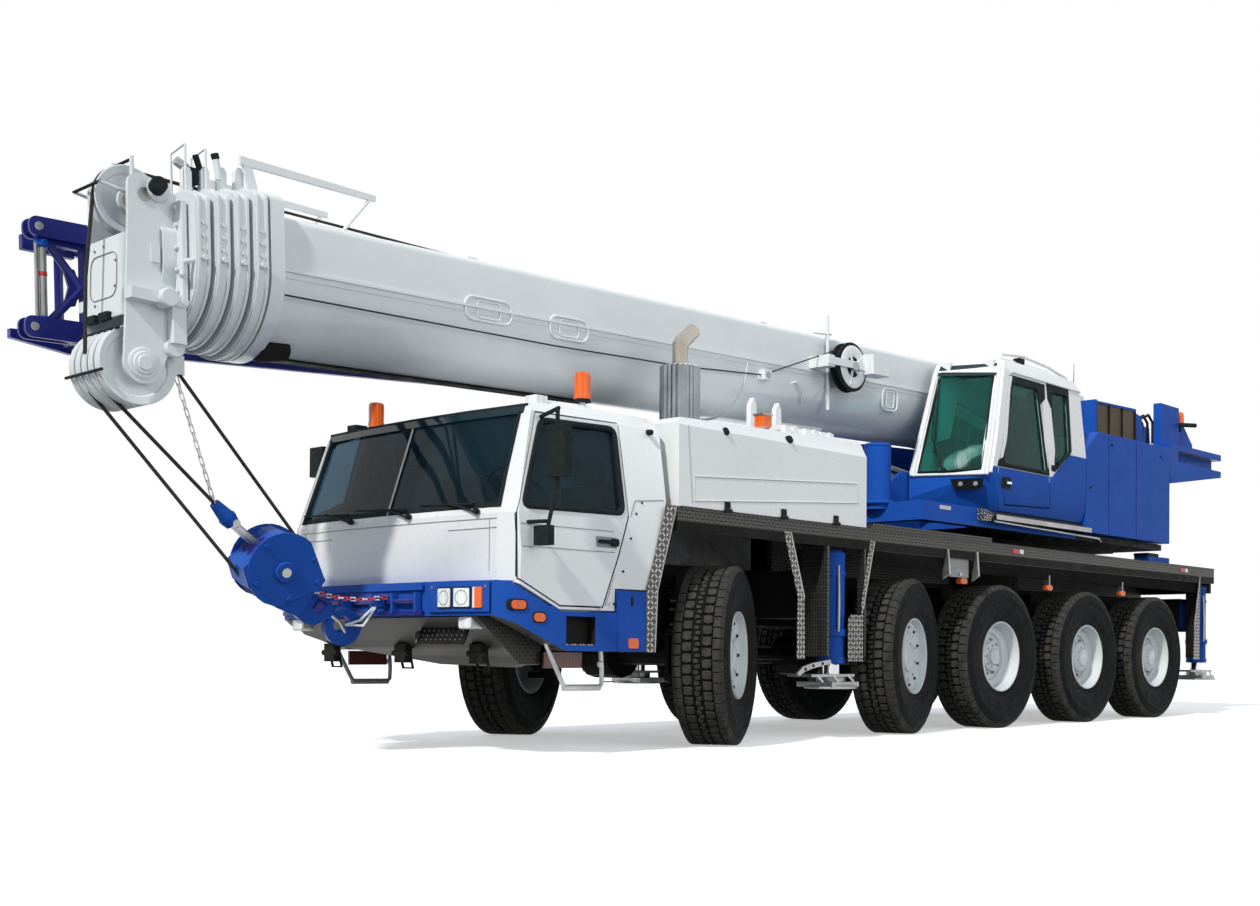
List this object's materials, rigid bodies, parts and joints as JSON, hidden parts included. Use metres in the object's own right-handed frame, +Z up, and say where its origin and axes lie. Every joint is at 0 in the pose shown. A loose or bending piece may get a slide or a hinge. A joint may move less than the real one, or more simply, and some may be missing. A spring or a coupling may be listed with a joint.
{
  "type": "all-terrain telescopic mobile crane",
  "caption": "Road-going mobile crane: long wheeled carrier with front cab, slewing platform with crane cab, luffing telescopic boom and folding outriggers.",
  "frame": {"origin": "on the ground, midway along the length and width of the bounding box", "axes": "+X forward, +Y to the crane's left, +Z up"},
  "size_m": [14.6296, 3.3, 4.0238],
  "materials": {
    "tyre": "matt black",
    "rim": "satin silver",
    "black_paint": "matt",
    "chequer_plate": "raised pattern",
    "engine": "rough",
    "white_paint": "gloss",
    "blue_paint": "gloss",
    "chrome": "polished",
    "steel": "bare"
  },
  "bodies": {
    "carrier": {"carrier_frame": "black_paint", "deck": "chequer_plate", "engine_block": "engine", "engine_housing": "white_paint", "front_cab": "white_paint", "front_bumper": "blue_paint", "axles_and_drive": "black_paint"},
    "wheel_1_left": {"tyre_1_left": "tyre", "rim_1_left": "rim"},
    "knuckle_1_left": {"knuckle_1_left": "black_paint"},
    "wheel_1_right": {"tyre_1_right": "tyre", "rim_1_right": "rim"},
    "knuckle_1_right": {"knuckle_1_right": "black_paint"},
    "wheel_2_left": {"tyre_2_left": "tyre", "rim_2_left": "rim"},
    "knuckle_2_left": {"knuckle_2_left": "black_paint"},
    "wheel_2_right": {"tyre_2_right": "tyre", "rim_2_right": "rim"},
    "knuckle_2_right": {"knuckle_2_right": "black_paint"},
    "wheel_3_left": {"tyre_3_left": "tyre", "rim_3_left": "rim"},
    "wheel_3_right": {"tyre_3_right": "tyre", "rim_3_right": "rim"},
    "wheel_4_left": {"tyre_4_left": "tyre", "rim_4_left": "rim"},
    "knuckle_4_left": {"knuckle_4_left": "black_paint"},
    "wheel_4_right": {"tyre_4_right": "tyre", "rim_4_right": "rim"},
    "knuckle_4_right": {"knuckle_4_right": "black_paint"},
    "wheel_5_left": {"tyre_5_left": "tyre", "rim_5_left": "rim"},
    "knuckle_5_left": {"knuckle_5_left": "black_paint"},
    "wheel_5_right": {"tyre_5_right": "tyre", "rim_5_right": "rim"},
    "knuckle_5_right": {"knuckle_5_right": "black_paint"},
    "cab_door_left": {"cab_door_left": "white_paint"},
    "cab_door_right": {"cab_door_right": "white_paint"},
    "outrigger_beam_front_left": {"outrigger_beam_front_left": "blue_paint"},
    "outrigger_jack_front_left": {"outrigger_jack_front_left": "steel"},
    "outrigger_beam_front_right": {"outrigger_beam_front_right": "blue_paint"},
    "outrigger_jack_front_right": {"outrigger_jack_front_right": "steel"},
    "outrigger_beam_rear_left": {"outrigger_beam_rear_left": "blue_paint"},
    "outrigger_jack_rear_left": {"outrigger_jack_rear_left": "steel"},
    "outrigger_beam_rear_right": {"outrigger_beam_rear_right": "blue_paint"},
    "outrigger_jack_rear_right": {"outrigger_jack_rear_right": "steel"},
    "superstructure": {"slewing_platform": "blue_paint", "power_housing": "blue_paint", "crane_cab": "white_paint"},
    "crane_cab_door": {"crane_cab_door": "blue_paint"},
    "boom": {"boom_base": "white_paint", "stowed_jib": "blue_paint"},
    "boom_section_1": {"boom_section_1": "white_paint"},
    "boom_section_2": {"boom_section_2": "white_paint"},
    "boom_section_3": {"boom_section_3": "white_paint"},
    "boom_section_4": {"boom_section_4": "white_paint"},
    "boom_head_section": {"boom_head_section": "white_paint"},
    "luffing_cylinder": {"luffing_cylinder": "white_paint"},
    "luffing_rod": {"luffing_rod": "chrome"},
    "hook_block": {"hook_block": "blue_paint"}
  },
  "joints": [
    {"name": "steer_1_left", "type": "hinge", "parent": "carrier", "child": "knuckle_1_left", "pos_m": [2.715, 0.883, 0.728], "axis": [0, 0, 1], "range_deg": [-57.4, 2.6]},
    {"name": "spin_1_left", "type": "hinge", "parent": "knuckle_1_left", "child": "wheel_1_left", "pos_m": [2.5829, 1.11736, 0.728], "axis": [-0.4909, 0.8712, 0], "continuous": true},
    {"name": "steer_1_right", "type": "hinge", "parent": "carrier", "child": "knuckle_1_right", "pos_m": [2.715, -0.883, 0.728], "axis": [0, 0, 1], "range_deg": [-49.59, 2.25]},
    {"name": "spin_1_right", "type": "hinge", "parent": "knuckle_1_right", "child": "wheel_1_right", "pos_m": [2.8304, -1.126, 0.728], "axis": [-0.4289, 0.9033, 0], "continuous": true},
    {"name": "steer_2_left", "type": "hinge", "parent": "carrier", "child": "knuckle_2_left", "pos_m": [0.129, 0.883, 0.728], "axis": [0, 0, 1], "range_deg": [-30.46, 1.38]},
    {"name": "spin_2_left", "type": "hinge", "parent": "knuckle_2_left", "child": "wheel_2_left", "pos_m": [0.0567, 1.14209, 0.728], "axis": [-0.2689, 0.9632, 0], "continuous": true},
    {"name": "steer_2_right", "type": "hinge", "parent": "carrier", "child": "knuckle_2_right", "pos_m": [0.129, -0.883, 0.728], "axis": [0, 0, 1], "range_deg": [-26.36, 1.2]},
    {"name": "spin_2_right", "type": "hinge", "parent": "knuckle_2_right", "child": "wheel_2_right", "pos_m": [0.1918, -1.14457, 0.728], "axis": [-0.2334, 0.9724, 0], "continuous": true},
    {"name": "spin_3_left", "type": "hinge", "parent": "carrier", "child": "wheel_3_left", "pos_m": [-1.54, 1.152, 0.728], "axis": [0, 1, 0], "continuous": true},
    {"name": "spin_3_right", "type": "hinge", "parent": "carrier", "child": "wheel_3_right", "pos_m": [-1.54, -1.152, 0.728], "axis": [0, 1, 0], "continuous": true},
    {"name": "steer_4_left", "type": "hinge", "parent": "carrier", "child": "knuckle_4_left", "pos_m": [-3.403, 0.883, 0.728], "axis": [0, 0, 1], "range_deg": [-13.2, 13.2]},
    {"name": "spin_4_left", "type": "hinge", "parent": "knuckle_4_left", "child": "wheel_4_left", "pos_m": [-3.403, 1.152, 0.728], "axis": [0, 1, 0], "continuous": true},
    {"name": "steer_4_right", "type": "hinge", "parent": "carrier", "child": "knuckle_4_right", "pos_m": [-3.403, -0.883, 0.728], "axis": [0, 0, 1], "range_deg": [-13.2, 13.2]},
    {"name": "spin_4_right", "type": "hinge", "parent": "knuckle_4_right", "child": "wheel_4_right", "pos_m": [-3.403, -1.152, 0.728], "axis": [0, 1, 0], "continuous": true},
    {"name": "steer_5_left", "type": "hinge", "parent": "carrier", "child": "knuckle_5_left", "pos_m": [-5.146, 0.883, 0.728], "axis": [0, 0, 1], "range_deg": [-22, 22]},
    {"name": "spin_5_left", "type": "hinge", "parent": "knuckle_5_left", "child": "wheel_5_left", "pos_m": [-5.146, 1.152, 0.728], "axis": [0, 1, 0], "continuous": true},
    {"name": "steer_5_right", "type": "hinge", "parent": "carrier", "child": "knuckle_5_right", "pos_m": [-5.146, -0.883, 0.728], "axis": [0, 0, 1], "range_deg": [-22, 22]},
    {"name": "spin_5_right", "type": "hinge", "parent": "knuckle_5_right", "child": "wheel_5_right", "pos_m": [-5.146, -1.152, 0.728], "axis": [0, 1, 0], "continuous": true},
    {"name": "hinge_cab_door_left", "type": "hinge", "parent": "carrier", "child": "cab_door_left", "pos_m": [4.895, 1.366, 1.5], "axis": [0, 0, 1], "range_deg": [-65, 0]},
    {"name": "hinge_cab_door_right", "type": "hinge", "parent": "carrier", "child": "cab_door_right", "pos_m": [4.895, -1.366, 1.5], "axis": [0, 0, 1], "range_deg": [0, 65]},
    {"name": "extend_front_left", "type": "slide", "parent": "carrier", "child": "outrigger_beam_front_left", "axis": [0, 1, 0], "range_m": [0, 1.5]},
    {"name": "lower_front_left", "type": "slide", "parent": "outrigger_beam_front_left", "child": "outrigger_jack_front_left", "axis": [0, 0, -1], "range_m": [0, 0.45]},
    {"name": "extend_front_right", "type": "slide", "parent": "carrier", "child": "outrigger_beam_front_right", "axis": [0, -1, 0], "range_m": [0, 1.5]},
    {"name": "lower_front_right", "type": "slide", "parent": "outrigger_beam_front_right", "child": "outrigger_jack_front_right", "axis": [0, 0, -1], "range_m": [0, 0.45]},
    {"name": "extend_rear_left", "type": "slide", "parent": "carrier", "child": "outrigger_beam_rear_left", "axis": [0, 1, 0], "range_m": [0, 1.5]},
    {"name": "lower_rear_left", "type": "slide", "parent": "outrigger_beam_rear_left", "child": "outrigger_jack_rear_left", "axis": [0, 0, -1], "range_m": [0, 0.45]},
    {"name": "extend_rear_right", "type": "slide", "parent": "carrier", "child": "outrigger_beam_rear_right", "axis": [0, -1, 0], "range_m": [0, 1.5]},
    {"name": "lower_rear_right", "type": "slide", "parent": "outrigger_beam_rear_right", "child": "outrigger_jack_rear_right", "axis": [0, 0, -1], "range_m": [0, 0.45]},
    {"name": "slew", "type": "hinge", "parent": "carrier", "child": "superstructure", "pos_m": [-2.685, 0, 2.02], "axis": [0, 0, 1], "continuous": true},
    {"name": "luff", "type": "hinge", "parent": "superstructure", "child": "boom", "pos_m": [-5.685, 0, 3.4], "axis": [0, -1, 0], "range_deg": [0, 82]},
    {"name": "telescope_1", "type": "slide", "parent": "boom", "child": "boom_section_1", "axis": [0.9994, 0, -0.034], "range_m": [0, 7.84]},
    {"name": "telescope_2", "type": "slide", "parent": "boom_section_1", "child": "boom_section_2", "axis": [0.9994, 0, -0.034], "range_m": [0, 7.841]},
    {"name": "telescope_3", "type": "slide", "parent": "boom_section_2", "child": "boom_section_3", "axis": [0.9994, 0, -0.034], "range_m": [0, 7.841]},
    {"name": "telescope_4", "type": "slide", "parent": "boom_section_3", "child": "boom_section_4", "axis": [0.9994, 0, -0.034], "range_m": [0, 7.841]},
    {"name": "telescope_5", "type": "slide", "parent": "boom_section_4", "child": "boom_head_section", "axis": [0.9994, 0, -0.034], "range_m": [0, 7.841]},
    {"name": "hinge_crane_cab_door", "type": "hinge", "parent": "superstructure", "child": "crane_cab_door", "pos_m": [-2.5, 1.375, 2.9], "axis": [0, 0, 1], "range_deg": [0, 80]},
    {"name": "cylinder_swing", "type": "hinge", "parent": "superstructure", "child": "luffing_cylinder", "pos_m": [-3.885, 0, 2.35], "axis": [0, -1, 0], "range_deg": [0, 86.97]},
    {"name": "cylinder_stroke", "type": "slide", "parent": "luffing_cylinder", "child": "luffing_rod", "axis": [0.9943, 0, 0.1065], "range_m": [0, 2.695]},
    {"name": "hook_swing", "type": "hinge", "parent": "boom_head_section", "child": "hook_block", "pos_m": [7.0127, 0, 2.52743], "axis": [0, -1, 0], "range_deg": [-40.61, 0]}
  ],
  "couplings": [
    {"joint": "steer_1_right", "follows": "steer_1_left", "ratio": 0.86395},
    {"joint": "steer_2_left", "follows": "steer_1_left", "ratio": 0.53061},
    {"joint": "steer_2_right", "follows": "steer_1_left", "ratio": 0.45918},
    {"joint": "steer_4_left", "follows": "steer_5_left", "ratio": 0.6},
    {"joint": "steer_4_right", "follows": "steer_5_left", "ratio": 0.6},
    {"joint": "steer_5_right", "follows": "steer_5_left", "ratio": 1},
    {"joint": "telescope_2", "follows": "telescope_1", "ratio": 1},
    {"joint": "telescope_3", "follows": "telescope_1", "ratio": 1},
    {"joint": "telescope_4", "follows": "telescope_1", "ratio": 1},
    {"joint": "telescope_5", "follows": "telescope_1", "ratio": 1},
    {"joint": "cylinder_swing", "follows": "luff", "ratio": 1.0604},
    {"joint": "cylinder_stroke", "follows": "luff", "m_per_rad": 1.8824},
    {"joint": "hook_swing", "follows": "luff", "ratio": -0.49512}
  ]
}
